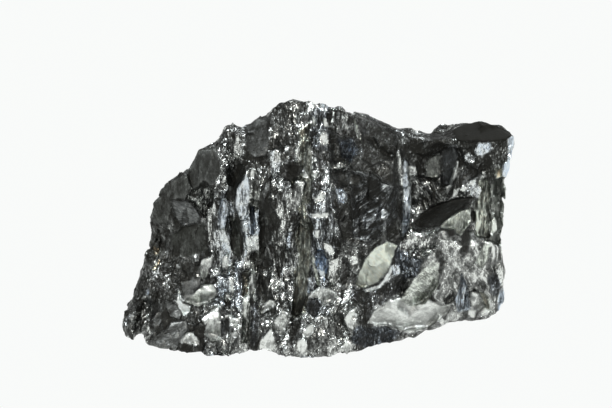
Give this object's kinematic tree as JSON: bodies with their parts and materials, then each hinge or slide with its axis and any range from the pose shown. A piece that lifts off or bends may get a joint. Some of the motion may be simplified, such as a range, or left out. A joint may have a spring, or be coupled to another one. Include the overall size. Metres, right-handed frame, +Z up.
{
  "type": "coal lump",
  "caption": "Lump of bright banded coal with upright beds, a stepped crest, a broken-out ledge and a flat resting face.",
  "frame": {"origin": "middle of the bounding box's bottom, on the plane the lump rests on", "axes": "+X along the lump, +Y towards its back, +Z up; the beds stand upright across X"},
  "size_m": [0.11, 0.053, 0.068],
  "materials": {
    "coal": "bright glassy bands between dull black ones, freshly broken"
  },
  "bodies": {
    "root": {"coal_lump": "coal"}
  },
  "joints": []
}
